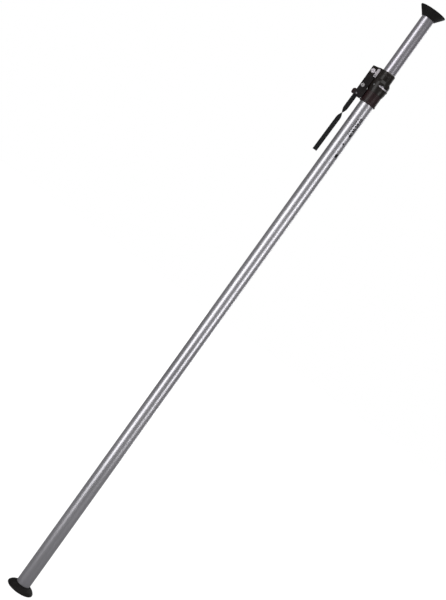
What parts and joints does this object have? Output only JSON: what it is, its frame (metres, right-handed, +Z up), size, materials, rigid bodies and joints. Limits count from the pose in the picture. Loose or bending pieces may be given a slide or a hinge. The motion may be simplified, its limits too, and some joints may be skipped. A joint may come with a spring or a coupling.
{
  "type": "floor-to-ceiling pole",
  "caption": "Telescopic aluminium pole with a rubber foot and a rubber cup, jammed between floor and ceiling by a black lever lock with a safety catch and a pull strap",
  "frame": {"origin": "centre of the foot's underside, on the pole's axis, at floor level", "axes": "+Z up along the pole, -X towards the lever's thumb side, -Y towards the heads of the lever's pins"},
  "size_m": [0.103, 0.086, 2.1],
  "materials": {
    "satin_aluminium": "satin anodised tube, fine lines along its length",
    "casting_black": "die casting, black gloss powder coat",
    "lever_black": "die casting, black gloss powder coat",
    "rubber": "matt black moulded rubber",
    "nylon": "natural nylon",
    "steel": "zinc-plated steel",
    "webbing": "black woven webbing"
  },
  "bodies": {
    "pole_base": {"outer_tube": "satin_aluminium", "floor_foot": "rubber", "foot_stud": "steel", "foot_plug": "nylon", "guide_bush_upper": "nylon", "lock_collar": "casting_black", "collar_screw_1": "steel", "collar_screw_2": "steel", "cam_pad": "steel"},
    "inner": {"inner_tube": "satin_aluminium", "ceiling_cup": "rubber", "cup_stud": "steel", "cup_plug": "nylon", "guide_bush_lower": "nylon", "stop_ring": "nylon", "stop_pin": "steel"},
    "carriage": {"brake_carriage": "casting_black", "neck_wiper": "nylon", "brake_spring": "steel", "brake_retainer": "casting_black", "retainer_screw_1": "steel", "retainer_screw_2": "steel", "retainer_screw_3": "steel", "lever_pin": "steel", "lever_pin_nut": "steel", "pin_lock_plate": "steel", "lock_plate_screw": "steel"},
    "lever": {"lever": "lever_black", "catch_pin": "steel", "catch_pin_clip": "steel", "catch_spring": "steel", "strap_rivet": "steel"},
    "brake": {"brake_plate": "steel"},
    "catch": {"safety_catch": "casting_black"},
    "strap": {"strap": "webbing"}
  },
  "joints": [
    {"name": "inner_tube_slide", "type": "slide", "parent": "pole_base", "child": "inner", "axis": [0, 0, 1], "range_m": [0, 1.6]},
    {"name": "carriage_slide", "type": "slide", "parent": "pole_base", "child": "carriage", "axis": [0, 0, 1], "range_m": [-0.008, 0]},
    {"name": "lever_swing", "type": "hinge", "parent": "carriage", "child": "lever", "pos_m": [-0.0427, 0, 1.857], "axis": [0, 1, 0], "range_deg": [0, 120]},
    {"name": "brake_release", "type": "hinge", "parent": "carriage", "child": "brake", "pos_m": [-0.00999, 0.0196, 1.8325], "axis": [0.891, 0.454, 0], "range_deg": [-3, 0], "stiffness_Nm_per_rad": 0.3, "springref_deg": 2.86},
    {"name": "catch_press", "type": "hinge", "parent": "lever", "child": "catch", "pos_m": [-0.0427, 0, 1.806], "axis": [0, 1, 0], "range_deg": [-6, 0], "stiffness_Nm_per_rad": 0.1, "springref_deg": 11.46},
    {"name": "strap_swing", "type": "hinge", "parent": "lever", "child": "strap", "pos_m": [-0.044, 0, 1.7765], "axis": [0, 1, 0], "range_deg": [-4, 10]}
  ],
  "couplings": [
    {"joint": "carriage_slide", "follows": "lever_swing", "m_per_rad": -0.0038197}
  ]
}
